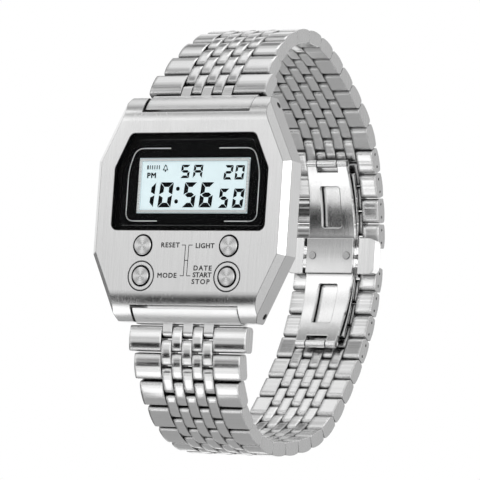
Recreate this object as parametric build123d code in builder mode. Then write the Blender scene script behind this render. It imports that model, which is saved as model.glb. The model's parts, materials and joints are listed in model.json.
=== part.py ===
from build123d import *
import math
import os

os.makedirs("parts", exist_ok=True)

# Digital wristwatch with a steel case, a linked steel bracelet and a butterfly clasp.
# X runs to the right of the dial, Y from the dial into the bracelet loop, Z towards twelve.
# The origin is the centre of the wrist opening. All lengths are in millimetres.

# Placement of the case in the loop
face_reach = 31.5
case_rise = 3.2

# Case outline
case_half_width = 20.5
case_half_height = 20.8
lug_end_half_width = 14.7
side_edge_top = 8.8
side_edge_bottom = 8.5
case_depth = 7.0
case_bevel = 1.2
bevel_angle = 45
back_bevel = 2.2
back_bevel_angle = 30
bend_start_top = 16.2
bend_start_bottom = 15.3
lug_drop = 2.3
lug_back_rise = 2.4
overrun = 4.0

# Slots and spring bars
slot_half_width = 11.4
slot_wall = 17.9
bar_height = 19.4
bar_depth = 4.0
bar_radius = 0.75
bar_body_half = 11.2
bar_tip_radius = 0.45
bar_tip_length = 2.5
bar_tip_pressed = 0.1
running_play = 0.05

# Crystal, display panel and display
front_wall = 2.6
recess_depth = 1.5
panel_top = 13.9
panel_top_half = 13.25
panel_shoulder = 7.4
panel_half = 16.35
panel_bottom = 4.15
panel_round = 1.3
panel_sink = 0.05
crystal_play = 0.1
crystal_thickness = 1.0
gasket_width = 0.9
layer_gap = 0.05
panel_gap = 0.15
lcd_height = 4.3
lcd_frame_width = 23.5
lcd_frame_height = 10.0
lcd_frame_wall = 0.5
lcd_frame_round = 0.5
lcd_frame_depth = 0.5
lcd_width = 24.6
lcd_cell_height = 12.4
lcd_thickness = 1.1
lcd_play = 0.2
backlight_width = 22.0
backlight_height = 9.4
backlight_thickness = 0.4
strip_offset = 5.5
strip_width = 1.0
strip_length = 20.0

# Push buttons in the dial
button_offset = 9.15
button_row_upper = 6.95
button_row_lower = 12.6
ring_radius = 2.65
ring_wall = 0.7
ring_play = 0.12
well_gap = 0.2
button_well_depth = 2.0
button_radius_upper = 1.78
button_radius_lower = 1.68
button_head = 0.8
button_proud = 0.45
button_dome = 0.2
stem_radius = 0.7
stem_reach = 3.3
button_travel = 0.5
clip_radius = 1.25
clip_thickness = 0.25
clip_depth = 2.95
clip_play = 0.03
button_gasket_radius = 1.5
button_gasket_play = 0.02
button_gasket_thickness = 0.25
button_gasket_seat = 0.02
spring_radius = 1.2
spring_wire = 0.11
spring_turns = 4

# Module inside the case
cavity_half_width = 14.8
cavity_half_height = 14.2
cavity_round = 1.5
frame_play = 0.3
frame_wall = 0.8
ledge_inset = 2.4
frame_front = 2.9
frame_back = 6.5
board_front = 3.9
board_thickness = 0.6
board_play = 0.2
chip_size = 4.4
chip_thickness = 0.7
chip_height = 9.2
battery_radius = 8.0
battery_thickness = 1.6
battery_height = 3.2
battery_rim = 0.5
strap_thickness = 0.2
strap_width = 5.0
strap_reach = 11.6
buzzer_radius = 6.5
buzzer_thickness = 0.2
module_screw_radius = 0.5
module_screw_head = 0.9
module_screw_head_depth = 0.35
module_screw_length = 1.2
thread_play = 0.03

# Case back
back_thickness = 1.2
back_half_width = 18.2
back_half_height = 17.4
back_lug_half_width = 14.5
back_edge_height = 8.6
back_chamfer = 0.5
groove_inset = 0.3
groove_width = 0.8
groove_depth = 0.5
gasket_play = 0.05
back_screw_x = 13.0
back_screw_z = 16.4
back_screw_radius = 0.55
back_screw_head = 0.95
back_screw_head_depth = 0.6
back_screw_length = 2.4
screw_slot_width = 0.25
screw_slot_depth = 0.2

# Bracelet rows
row_pitch = 5.0
row_gap = 0.25
row_half_thickness = 1.3
row_dome = 0.35
inner_round = 0.8
outer_round = 0.5
bead_width = 2.0
column_pitch = 2.19
block_start = 5.57
first_row_width = 24.8
last_row_width = 18.2
taper_rows = 2.3
pin_radius = 0.4
pin_skin = 0.6
pin_end_play = 0.1
pin_hole_radius = 0.28
holed_upper_row = 13
holed_lower_row = 15
link_reach = 3.1
end_link_half_width = 11.15
end_link_radius = 1.25
end_link_gap = 0.1
finger_radius = 1.2
end_link_round = 0.4
cheek_back = 1.0
cheek_rise = 3.1
cheek_crown = 2.45
cheek_crown_place = 0.2

# Headings of the rows in degrees, from along the lugs (0) to back along the wrist (180)
upper_lead = 24
upper_headings = [33, 41, 50, 62, 78, 94, 109, 118, 122, 125, 130, 146, 153, 160, 167, 174]
lower_lead = 0
lower_headings = [0.07, 12.64, 29.25, 45.82, 62.53, 79.05, 93.15, 99.03, 103.79, 113.34, 128.31, 139.92,
                  143.06, 146, 153, 160, 167, 174]
clasp_turn = 7

# Clasp, as depths inwards from the pin circle of the bracelet
clasp_half_gap = 3.0
knuckle_radius = 1.0
arm_outer = 1.65
arm_thickness = 0.8
arm_half_width = 5.0
arm_start = 2.1
blade_outer = 2.8
blade_thickness = 0.8
blade_half_width = 5.1
blade_end_half_width = 4.3
blade_reach_angle = 27.5
window_width = 4.3
window_height = 7.8
window_centre = 9.4
window_round = 0.5
notch_width = 4.6
notch_depth = 2.4
tongue_play = 0.2
eye_depth = 2.9
eye_radius = 0.75
clasp_pin_radius = 0.35
clasp_pin_play = 0.03
clasp_pin_inset = 0.1
plate_half_height = 3.8
plate_thickness = 0.6
rivet_offset = 3.75
rivet_radius = 0.65
rivet_shank = 0.45
rivet_head = 0.2
latch_half_height = 1.5
latch_rise = 0.9
pusher_start = 6.1
pusher_end = 9.7
pusher_half_height = 3.5
pusher_round = 1.4
pusher_outer = 1.55
pusher_thickness = 2.2
pusher_stem_depth = 2.1
pusher_stem_radius = 0.4
pusher_stem_end = 3.2
pusher_bore_end = 0.8
pusher_travel = 0.5
pusher_spring_radius = 0.25
pusher_spring_wire = 0.07
pusher_spring_turns = 5
pusher_spring_gap = 0.05


def at_depth(depth):
    return Plane(origin=(0, depth - face_reach, case_rise), x_dir=(1, 0, 0), z_dir=(0, -1, 0))


side_view = Plane(origin=(0, -face_reach, case_rise), x_dir=(0, 1, 0), z_dir=(1, 0, 0))


def save(part, label):
    part.label = label
    export_step(part, "parts/" + label + ".step")


# Case body
def case_outline(margin):
    # The sloping sides run on past the lugs, so that only the sides are bevelled
    reach = case_half_height + margin
    slope_top = (lug_end_half_width - case_half_width) / (case_half_height - side_edge_top)
    slope_bottom = (lug_end_half_width - case_half_width) / (case_half_height - side_edge_bottom)
    top_half = case_half_width + slope_top * (reach - side_edge_top)
    bottom_half = case_half_width + slope_bottom * (reach - side_edge_bottom)
    Polygon(
        (-top_half, reach),
        (-case_half_width, side_edge_top),
        (-case_half_width, -side_edge_bottom),
        (-bottom_half, -reach),
        (bottom_half, -reach),
        (case_half_width, -side_edge_bottom),
        (case_half_width, side_edge_top),
        (top_half, reach),
        align=None,
    )


def rounded_panel(inset):
    half = panel_half - inset
    top_half = panel_top_half - inset
    shoulder = panel_shoulder - inset / 2
    with BuildSketch(Plane.XY, mode=Mode.PRIVATE) as shape:
        Polygon(
            (-top_half, panel_top - inset),
            (-half, shoulder),
            (-half, -panel_bottom + inset),
            (half, -panel_bottom + inset),
            (half, shoulder),
            (top_half, panel_top - inset),
            align=None,
        )
        fillet(shape.vertices(), radius=panel_round - inset / 2)
    return shape.sketch


buttons = {
    "reset_button": (-button_offset, -button_row_upper, button_radius_upper),
    "light_button": (button_offset, -button_row_upper, button_radius_upper),
    "mode_button": (-button_offset, -button_row_lower, button_radius_lower),
    "start_button": (button_offset, -button_row_lower, button_radius_lower),
}
button_places = [(x, z) for x, z, radius in buttons.values()]
upper_buttons = [place for place in button_places if place[1] == -button_row_upper]
lower_buttons = [place for place in button_places if place[1] == -button_row_lower]
back_screw_places = [(x, z) for x in (-back_screw_x, back_screw_x) for z in (-back_screw_z, back_screw_z)]

with BuildPart() as case_body:
    with BuildSketch(at_depth(case_bevel)):
        case_outline(overrun)
    extrude(amount=-(case_depth - case_bevel - back_bevel))
    with BuildSketch(at_depth(case_bevel)):
        case_outline(overrun)
    extrude(amount=case_bevel, taper=bevel_angle)
    with BuildSketch(at_depth(case_depth - back_bevel)):
        case_outline(overrun)
    extrude(amount=-back_bevel, taper=back_bevel_angle)
    with BuildSketch(side_view):
        with BuildLine():
            Line((0, -bend_start_bottom), (0, bend_start_top))
            TangentArc((0, bend_start_top), (lug_drop, case_half_height), tangent=(0, 1))
            Polyline(
                (lug_drop, case_half_height),
                (case_depth - lug_back_rise, case_half_height),
                (case_depth, slot_wall),
                (case_depth, -slot_wall),
                (case_depth - lug_back_rise, -case_half_height),
                (lug_drop, -case_half_height),
            )
            TangentArc((0, -bend_start_bottom), (lug_drop, -case_half_height), tangent=(0, -1))
        make_face()
    extrude(amount=case_half_width + overrun, both=True, mode=Mode.INTERSECT)
    # Slots for the end links
    slot_height = case_half_height + overrun - slot_wall
    with BuildSketch(at_depth(-overrun)):
        with Locations((0, slot_wall + slot_height / 2), (0, -slot_wall - slot_height / 2)):
            Rectangle(2 * slot_half_width, slot_height)
    extrude(amount=-(case_depth + 2 * overrun), mode=Mode.SUBTRACT)
    # Holes for the spring bars, drilled through the lugs
    with BuildSketch(Plane(origin=side_view.origin, x_dir=(0, 1, 0), z_dir=(1, 0, 0))):
        with Locations((bar_depth, bar_height), (bar_depth, -bar_height)):
            Circle(bar_tip_radius + running_play)
    extrude(amount=case_half_width + overrun, both=True, mode=Mode.SUBTRACT)
    # Space for the module, open to the back
    with BuildSketch(at_depth(front_wall)):
        RectangleRounded(2 * cavity_half_width, 2 * cavity_half_height, cavity_round)
    extrude(amount=-case_depth, mode=Mode.SUBTRACT)
    # Seat of the crystal and window for the display
    with BuildSketch(at_depth(0)):
        add(rounded_panel(0))
    extrude(amount=-recess_depth, mode=Mode.SUBTRACT)
    with BuildSketch(at_depth(recess_depth)):
        with Locations((0, lcd_height)):
            Rectangle(lcd_width + 2 * lcd_play, lcd_cell_height + 2 * lcd_play)
    extrude(amount=-front_wall, mode=Mode.SUBTRACT)
    # Wells and stem holes of the buttons
    with BuildSketch(at_depth(0)):
        with Locations(*upper_buttons):
            Circle(button_radius_upper + well_gap)
        with Locations(*lower_buttons):
            Circle(ring_radius + ring_play)
    extrude(amount=-button_well_depth, mode=Mode.SUBTRACT)
    with BuildSketch(at_depth(0)):
        with Locations(*button_places):
            Circle(stem_radius + running_play)
    extrude(amount=-case_depth, mode=Mode.SUBTRACT)
    # Groove of the back gasket and holes of the back screws
    with BuildSketch(at_depth(case_depth)):
        RectangleRounded(
            2 * (cavity_half_width + groove_inset + groove_width),
            2 * (cavity_half_height + groove_inset + groove_width),
            cavity_round + groove_inset + groove_width,
        )
        RectangleRounded(
            2 * (cavity_half_width + groove_inset),
            2 * (cavity_half_height + groove_inset),
            cavity_round + groove_inset,
            mode=Mode.SUBTRACT,
        )
    extrude(amount=groove_depth, mode=Mode.SUBTRACT)
    with BuildSketch(at_depth(case_depth)):
        with Locations(*back_screw_places):
            Circle(back_screw_radius + thread_play)
    extrude(amount=back_screw_length, mode=Mode.SUBTRACT)
save(case_body.part, "case_body")

# Crystal with its gasket
with BuildPart() as crystal:
    with BuildSketch(at_depth(panel_sink)):
        add(rounded_panel(crystal_play))
    extrude(amount=-crystal_thickness)
save(crystal.part, "crystal")

crystal_back = panel_sink + crystal_thickness
with BuildPart() as crystal_gasket:
    with BuildSketch(at_depth(crystal_back + layer_gap)):
        add(rounded_panel(crystal_play))
        add(rounded_panel(crystal_play + gasket_width), mode=Mode.SUBTRACT)
    extrude(amount=-(recess_depth - crystal_back - 2 * layer_gap))
save(crystal_gasket.part, "crystal_gasket")

# Display panel, a dark plate with a window
with BuildPart() as display_panel:
    with BuildSketch(at_depth(crystal_back + layer_gap)):
        add(rounded_panel(crystal_play + gasket_width + panel_gap))
        with Locations((0, lcd_height)):
            Rectangle(
                lcd_frame_width + 2 * panel_gap, lcd_frame_height + 2 * panel_gap, mode=Mode.SUBTRACT
            )
    extrude(amount=-(recess_depth - crystal_back - 2 * layer_gap))
save(display_panel.part, "display_panel")

# Display frame and display
with BuildPart() as lcd_frame:
    with BuildSketch(at_depth(crystal_back + layer_gap)):
        with Locations((0, lcd_height)):
            RectangleRounded(lcd_frame_width, lcd_frame_height, lcd_frame_round)
            Rectangle(
                lcd_frame_width - 2 * lcd_frame_wall, lcd_frame_height - 2 * lcd_frame_wall, mode=Mode.SUBTRACT
            )
    extrude(amount=-lcd_frame_depth)
save(lcd_frame.part, "lcd_frame")

lcd_front = crystal_back + lcd_frame_depth + 2 * layer_gap
with BuildPart() as lcd_cell:
    with BuildSketch(at_depth(lcd_front)):
        with Locations((0, lcd_height)):
            Rectangle(lcd_width, lcd_cell_height)
    extrude(amount=-lcd_thickness)
save(lcd_cell.part, "lcd_cell")

lcd_back = lcd_front + lcd_thickness
with BuildPart() as backlight_plate:
    with BuildSketch(at_depth(lcd_back + layer_gap)):
        with Locations((0, lcd_height)):
            Rectangle(backlight_width, backlight_height)
    extrude(amount=-backlight_thickness)
save(backlight_plate.part, "backlight_plate")

with BuildPart() as contact_strips:
    with BuildSketch(at_depth(lcd_back + layer_gap)):
        with Locations((0, lcd_height + strip_offset), (0, lcd_height - strip_offset)):
            Rectangle(strip_length, strip_width)
    extrude(amount=-(board_front - lcd_back - 2 * layer_gap))
save(contact_strips.part, "contact_strips")

# Module frame with a ledge for the circuit board
frame_half_width = cavity_half_width - frame_play
frame_half_height = cavity_half_height - frame_play
board_half_width = frame_half_width - frame_wall - board_play
board_half_height = frame_half_height - frame_wall - board_play
screw_x = frame_half_width - frame_wall - ledge_inset / 2
screw_z = frame_half_height - frame_wall - ledge_inset / 2
module_screw_places = [(x, z) for x in (-screw_x, screw_x) for z in (-screw_z, screw_z)]
board_back = board_front + board_thickness

with BuildPart() as module_frame:
    with BuildSketch(at_depth(frame_front)):
        RectangleRounded(2 * frame_half_width, 2 * frame_half_height, cavity_round)
        Rectangle(
            2 * (frame_half_width - frame_wall - ledge_inset),
            2 * (frame_half_height - frame_wall - ledge_inset),
            mode=Mode.SUBTRACT,
        )
    extrude(amount=-(board_front - layer_gap - frame_front))
    with BuildSketch(at_depth(board_front - layer_gap)):
        RectangleRounded(2 * frame_half_width, 2 * frame_half_height, cavity_round)
        Rectangle(
            2 * (frame_half_width - frame_wall), 2 * (frame_half_height - frame_wall), mode=Mode.SUBTRACT
        )
    extrude(amount=-(frame_back - board_front + layer_gap))
    with BuildSketch(at_depth(frame_front)):
        with Locations(*button_places):
            Circle(button_gasket_radius + panel_gap)
    extrude(amount=-(board_front - frame_front), mode=Mode.SUBTRACT)
    with BuildSketch(at_depth(board_front)):
        with Locations(*module_screw_places):
            Circle(module_screw_radius + thread_play)
    extrude(amount=board_front - frame_front, mode=Mode.SUBTRACT)
save(module_frame.part, "module_frame")

# Circuit board with its chip
with BuildPart() as circuit_board:
    with BuildSketch(at_depth(board_front)):
        Rectangle(2 * board_half_width, 2 * board_half_height)
        with Locations(*module_screw_places):
            Circle(module_screw_radius + thread_play, mode=Mode.SUBTRACT)
    extrude(amount=-board_thickness)
    with BuildSketch(at_depth(board_back + layer_gap)):
        with Locations((0, -chip_height)):
            Rectangle(chip_size, chip_size)
    extrude(amount=-chip_thickness)
save(circuit_board.part, "circuit_board")

with BuildPart() as module_screws:
    with BuildSketch(at_depth(board_back)):
        with Locations(*module_screw_places):
            Circle(module_screw_head)
    extrude(amount=-module_screw_head_depth)
    with BuildSketch(at_depth(board_back)):
        with Locations(*module_screw_places):
            Circle(module_screw_radius)
    extrude(amount=module_screw_length)
save(module_screws.part, "module_screws")

# Battery, its strap and the buzzer disc
battery_front = board_back + layer_gap
with BuildPart() as battery:
    with BuildSketch(at_depth(battery_front)):
        with Locations((0, battery_height)):
            Circle(battery_radius - battery_rim)
    extrude(amount=-battery_thickness)
    with BuildSketch(at_depth(battery_front + battery_rim)):
        with Locations((0, battery_height)):
            Circle(battery_radius)
    extrude(amount=-(battery_thickness - battery_rim))
save(battery.part, "battery")

strap_front = battery_front + battery_thickness + layer_gap
with BuildPart() as battery_strap:
    with BuildSketch(at_depth(strap_front)):
        with Locations((0, battery_height)):
            Rectangle(2 * strap_reach, strap_width)
    extrude(amount=-strap_thickness)
    with BuildSketch(at_depth(board_back + layer_gap)):
        with Locations((-strap_reach, battery_height), (strap_reach, battery_height)):
            Rectangle(strap_thickness, strap_width)
    extrude(amount=-(strap_front + strap_thickness - board_back - layer_gap))
save(battery_strap.part, "battery_strap")

with BuildPart() as buzzer_disc:
    with BuildSketch(at_depth(case_depth - layer_gap)):
        with Locations((0, -chip_height / 2)):
            Circle(buzzer_radius)
    extrude(amount=buzzer_thickness)
save(buzzer_disc.part, "buzzer_disc")

# Case back, its gasket and screws
with BuildPart() as case_back:
    with BuildSketch(at_depth(case_depth)):
        Polygon(
            (-back_lug_half_width, back_half_height),
            (-back_half_width, back_edge_height),
            (-back_half_width, -back_edge_height),
            (-back_lug_half_width, -back_half_height),
            (back_lug_half_width, -back_half_height),
            (back_half_width, -back_edge_height),
            (back_half_width, back_edge_height),
            (back_lug_half_width, back_half_height),
            align=None,
        )
    extrude(amount=-back_thickness)
    chamfer(case_back.faces().sort_by(Axis.Y)[-1].edges(), length=back_chamfer)
    with BuildSketch(at_depth(case_depth + back_thickness)):
        with Locations(*back_screw_places):
            Circle(back_screw_head + running_play)
    extrude(amount=back_screw_head_depth, mode=Mode.SUBTRACT)
    with BuildSketch(at_depth(case_depth + back_thickness)):
        with Locations(*back_screw_places):
            Circle(back_screw_radius + thread_play)
    extrude(amount=back_thickness, mode=Mode.SUBTRACT)
save(case_back.part, "case_back")

with BuildPart() as back_gasket:
    with BuildSketch(at_depth(case_depth - layer_gap)):
        RectangleRounded(
            2 * (cavity_half_width + groove_inset + groove_width - gasket_play),
            2 * (cavity_half_height + groove_inset + groove_width - gasket_play),
            cavity_round + groove_inset + groove_width - gasket_play,
        )
        RectangleRounded(
            2 * (cavity_half_width + groove_inset + gasket_play),
            2 * (cavity_half_height + groove_inset + gasket_play),
            cavity_round + groove_inset + gasket_play,
            mode=Mode.SUBTRACT,
        )
    extrude(amount=groove_depth - 2 * layer_gap)
save(back_gasket.part, "back_gasket")

screw_seat = case_depth + back_thickness - back_screw_head_depth
with BuildPart() as case_back_screws:
    with BuildSketch(at_depth(screw_seat)):
        with Locations(*back_screw_places):
            Circle(back_screw_head)
    extrude(amount=-back_screw_head_depth)
    with BuildSketch(at_depth(screw_seat + back_screw_head_depth)):
        with Locations(*back_screw_places):
            Rectangle(2 * back_screw_head, screw_slot_width)
            Rectangle(screw_slot_width, 2 * back_screw_head)
    extrude(amount=screw_slot_depth, mode=Mode.SUBTRACT)
    with BuildSketch(at_depth(screw_seat)):
        with Locations(*back_screw_places):
            Circle(back_screw_radius)
    extrude(amount=back_screw_length)
save(case_back_screws.part, "case_back_screws")

# Rings of the lower buttons and gaskets of all four
with BuildPart() as button_rings:
    with BuildSketch(at_depth(0)):
        with Locations(*lower_buttons):
            Circle(ring_radius)
            Circle(ring_radius - ring_wall, mode=Mode.SUBTRACT)
    extrude(amount=-button_well_depth)
save(button_rings.part, "button_rings")

with BuildPart() as button_gaskets:
    with BuildSketch(at_depth(front_wall + button_gasket_seat)):
        with Locations(*button_places):
            Circle(button_gasket_radius)
            Circle(stem_radius + button_gasket_play, mode=Mode.SUBTRACT)
    extrude(amount=-button_gasket_thickness)
save(button_gaskets.part, "button_gaskets")


# Buttons with a domed head, a stem and a clip, each with its spring
def button(x, z, radius):
    with BuildPart() as shape:
        with BuildSketch(at_depth(button_dome - button_proud)):
            with Locations((x, z)):
                Circle(radius)
        extrude(amount=-(button_head - button_dome))
        chamfer_edges = shape.edges().filter_by(GeomType.CIRCLE).sort_by(Axis.Y)
        fillet(chamfer_edges[0], radius=button_dome)
        with BuildSketch(at_depth(button_head - button_proud)):
            with Locations((x, z)):
                Circle(stem_radius)
        extrude(amount=-(stem_reach - button_head + button_proud))
        with BuildSketch(at_depth(clip_depth)):
            with Locations((x, z)):
                Circle(clip_radius)
                Circle(stem_radius + clip_play, mode=Mode.SUBTRACT)
        extrude(amount=-clip_thickness)
    return shape.part


def button_spring(x, z):
    start = button_head - button_proud + spring_wire + layer_gap
    length = button_well_depth - start - spring_wire - layer_gap
    base = Plane(origin=(x, start - face_reach, case_rise + z), x_dir=(1, 0, 0), z_dir=(0, 1, 0))
    with BuildPart() as shape:
        with BuildLine() as coil:
            Helix(
                pitch=length / spring_turns,
                height=length,
                radius=spring_radius,
                center=base.origin,
                direction=base.z_dir,
            )
        with BuildSketch(Plane(origin=coil.line @ 0, z_dir=coil.line % 0)):
            Circle(spring_wire)
        sweep()
    return shape.part


for name, (x, z, radius) in buttons.items():
    save(button(x, z, radius), name)
    save(button_spring(x, z), name.replace("button", "spring"))


# Spring bars, the lower one with its tips pressed in
def spring_bar(height, body_half, tip):
    centre = Plane(origin=(0, bar_depth - face_reach, case_rise + height), x_dir=(0, 1, 0), z_dir=(1, 0, 0))
    with BuildPart() as shape:
        with BuildSketch(centre):
            Circle(bar_radius)
        extrude(amount=body_half, both=True)
        with BuildSketch(centre):
            Circle(bar_tip_radius)
        extrude(amount=body_half + tip, both=True)
    return shape.part


save(spring_bar(bar_height, bar_body_half, bar_tip_length), "upper_spring_bar")
save(spring_bar(-bar_height, bar_body_half, bar_tip_pressed), "lower_spring_bar")


# Bracelet: the pins lie on a line of half pitches, alternately under a row and a connector
def heading_step(heading, side):
    angle = math.radians(heading)
    return math.sin(angle), side * math.cos(angle)


def walk(lead, headings, side):
    y = bar_depth - face_reach
    z = case_rise + side * bar_height
    step_y, step_z = heading_step(lead, side)
    y += link_reach * step_y
    z += link_reach * step_z
    stops = []
    for index, heading in enumerate(headings):
        turns = [heading]
        if index + 1 < len(headings):
            turns.append((heading + headings[index + 1]) / 2)
        for turn in turns:
            step_y, step_z = heading_step(turn, side)
            end = (y + row_pitch / 2 * step_y, z + row_pitch / 2 * step_z)
            stops.append(((y, z), end, turn))
            y, z = end
    return stops


def link_plane(x, stop, side):
    (y0, z0), (y1, z1), heading = stop
    step_y, step_z = heading_step(heading, side)
    return Plane(origin=(x, (y0 + y1) / 2, (z0 + z1) / 2), x_dir=(0, step_y, step_z), z_dir=(side, 0, 0))


def link_profile():
    half = (row_pitch - row_gap) / 2
    shoulder = row_half_thickness - row_dome
    with BuildSketch(Plane.XY, mode=Mode.PRIVATE) as shape:
        with BuildLine():
            Polyline(
                (half, shoulder),
                (half, -row_half_thickness),
                (-half, -row_half_thickness),
                (-half, shoulder),
            )
            ThreePointArc((-half, shoulder), (0, row_half_thickness), (half, shoulder))
        make_face()
        fillet(shape.vertices().group_by(Axis.Y)[0], radius=inner_round)
        fillet(shape.vertices().group_by(Axis.Y)[-1], radius=outer_round)
    return shape.sketch


link_shape = link_profile()


def row_width(number):
    return last_row_width + (first_row_width - last_row_width) * math.exp((1 - number) / taper_rows)


def block_end(number):
    return row_width(number) / 2


def add_columns(places, stop, side, half):
    with BuildSketch(*[link_plane(x, stop, side) for x in places]) as shape:
        add(link_shape)
    extrude(shape.sketch, amount=half, both=True)


def cylinders(points, radius, half, mode):
    with BuildSketch(Plane.YZ) as shape:
        with Locations(*points):
            Circle(radius)
    extrude(shape.sketch, amount=half, both=True, mode=mode)


def link_pair(stops, first, side):
    holed_row = holed_upper_row if side > 0 else holed_lower_row
    with BuildPart() as shape:
        bores = []
        for number in (first, first + 1):
            row = stops[2 * number - 2]
            centre = (block_start + block_end(number)) / 2
            add_columns((-centre, centre), row, side, (block_end(number) - block_start) / 2)
            add_columns((-column_pitch, column_pitch), row, side, bead_width / 2)
            if 2 * number - 1 < len(stops):
                connector = stops[2 * number - 1]
                add_columns((-2 * column_pitch, 0, 2 * column_pitch), connector, side, bead_width / 2)
                bores.append(connector[1])
            cylinders(row[0:2], pin_radius + running_play, block_end(number) - pin_skin, Mode.SUBTRACT)
            if number >= holed_row:
                cylinders(row[0:2], pin_hole_radius, block_end(number) + pin_skin, Mode.SUBTRACT)
        if bores:
            cylinders(bores, pin_radius + running_play, block_start, Mode.SUBTRACT)
        for number in (first, first + 1):
            row = stops[2 * number - 2]
            cylinders(row[0:2], pin_radius, block_end(number) - pin_skin - pin_end_play, Mode.ADD)
    return shape.part


def end_link(lead, side):
    origin = (0, bar_depth - face_reach, case_rise + side * bar_height)
    step_y, step_z = heading_step(lead, side)
    plate_end = link_reach - row_pitch / 4 - end_link_gap

    def column(x):
        return Plane(origin=(x, origin[1], origin[2]), x_dir=(0, step_y, step_z), z_dir=(side, 0, 0))

    def from_bar(along, out):
        # A point measured along the lugs and out from the bar, in the plane of the link
        turn = math.radians(lead)
        return (along * math.cos(turn) - out * math.sin(turn), out * math.cos(turn) + along * math.sin(turn))

    with BuildPart() as shape:
        with BuildSketch(column(0)) as outline:
            with Locations((plate_end / 2, 0)):
                Rectangle(plate_end, 2 * end_link_radius)
            fillet(outline.vertices().group_by(Axis.X)[-1], radius=end_link_round)
            Circle(end_link_radius)
        extrude(amount=end_link_half_width, both=True)
        with BuildSketch(column(0)):
            with BuildLine():
                cheek_top = from_bar(-cheek_back, cheek_rise)
                end_top = (plate_end, end_link_radius - end_link_round)
                ThreePointArc(cheek_top, from_bar(cheek_crown_place, cheek_crown), end_top)
                Polyline(end_top, (plate_end, 0), (0, 0), from_bar(-cheek_back, 0), cheek_top)
            make_face()
        extrude(amount=end_link_half_width, both=True)
        with BuildSketch(*[column(x) for x in (-2 * column_pitch, 0, 2 * column_pitch)]):
            with Locations(((plate_end / 2 + link_reach) / 2, 0)):
                Rectangle(link_reach - plate_end / 2, 2 * finger_radius)
            with Locations((link_reach, 0)):
                Circle(finger_radius)
        extrude(amount=bead_width / 2, both=True)
        with BuildSketch(column(0)):
            Circle(bar_radius + running_play)
        extrude(amount=end_link_half_width, both=True, mode=Mode.SUBTRACT)
        with BuildSketch(column(0)):
            with Locations((link_reach, 0)):
                Circle(pin_radius + running_play)
        extrude(amount=end_link_half_width, both=True, mode=Mode.SUBTRACT)
    return shape.part


upper_stops = walk(upper_lead, upper_headings, 1)
lower_stops = walk(lower_lead, lower_headings, -1)

save(end_link(upper_lead, 1), "upper_end_link")
save(end_link(lower_lead, -1), "lower_end_link")
for pair in range(len(upper_headings) // 2):
    save(link_pair(upper_stops, 2 * pair + 1, 1), "upper_links_" + str(pair + 1))
for pair in range(len(lower_headings) // 2):
    save(link_pair(lower_stops, 2 * pair + 1, -1), "lower_links_" + str(pair + 1))

# Clasp, laid out on the circle of the last bracelet pins
pin_circle = row_pitch / 4 / math.sin(math.radians(clasp_turn / 4))
end_angle = math.degrees(math.asin(clasp_half_gap / pin_circle))
clasp_y = upper_stops[-1][1][0] - math.sqrt(pin_circle**2 - clasp_half_gap**2)
clasp_z = upper_stops[-1][1][1] - clasp_half_gap
clasp_view = Plane(origin=(0, clasp_y, clasp_z), x_dir=(0, 1, 0), z_dir=(1, 0, 0))
eye_circle = pin_circle - eye_depth


def clasp_back(depth):
    # Faces the wrist, at a depth inwards from the pin circle
    return Plane(origin=(0, clasp_y + pin_circle - depth, clasp_z), x_dir=(1, 0, 0), z_dir=(0, -1, 0))


def on_circle(radius, angle):
    turn = math.radians(angle)
    return radius * math.cos(turn), radius * math.sin(turn)


def sector(outer, inner, start, end):
    with BuildSketch(Plane.XY, mode=Mode.PRIVATE) as shape:
        with BuildLine():
            CenterArc((0, 0), outer, start, end - start)
            CenterArc((0, 0), inner, start, end - start)
            Line(on_circle(outer, start), on_circle(inner, start))
            Line(on_circle(outer, end), on_circle(inner, end))
        make_face()
    return shape.sketch


def angle_of(length):
    return math.degrees(length / pin_circle)


def clasp_arm(side):
    outer = pin_circle - arm_outer
    inner = outer - arm_thickness
    start = side * angle_of(arm_start)
    far = side * blade_reach_angle
    shoulder = side * (blade_reach_angle - angle_of(notch_depth))
    knuckle = on_circle(pin_circle, side * end_angle)
    eye = on_circle(eye_circle, far)
    columns = [-2 * column_pitch, 0, 2 * column_pitch]
    with BuildPart() as shape:
        with BuildSketch(clasp_view):
            add(sector(outer, inner, start, shoulder))
        extrude(amount=arm_half_width, both=True)
        with BuildSketch(clasp_view):
            add(sector(outer, inner, shoulder - side * angle_of(arm_thickness), far))
            with Locations(eye):
                Circle(eye_radius)
        extrude(amount=notch_width / 2 - tongue_play, both=True)
        with BuildSketch(*[clasp_view.offset(x) for x in columns]):
            with Locations(knuckle):
                Circle(knuckle_radius)
            with Locations(((knuckle[0] + inner) / 2, knuckle[1])):
                Rectangle(knuckle[0] - inner - layer_gap, 2 * (knuckle_radius - running_play))
        extrude(amount=bead_width / 2, both=True)
        with BuildSketch(clasp_view):
            with Locations(knuckle):
                Circle(pin_radius + running_play)
        extrude(amount=arm_half_width + overrun, both=True, mode=Mode.SUBTRACT)
        with BuildSketch(clasp_view):
            with Locations(eye):
                Circle(clasp_pin_radius + running_play)
        extrude(amount=arm_half_width, both=True, mode=Mode.SUBTRACT)
    return shape.part


save(clasp_arm(1), "upper_arm")
save(clasp_arm(-1), "lower_arm")

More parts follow.
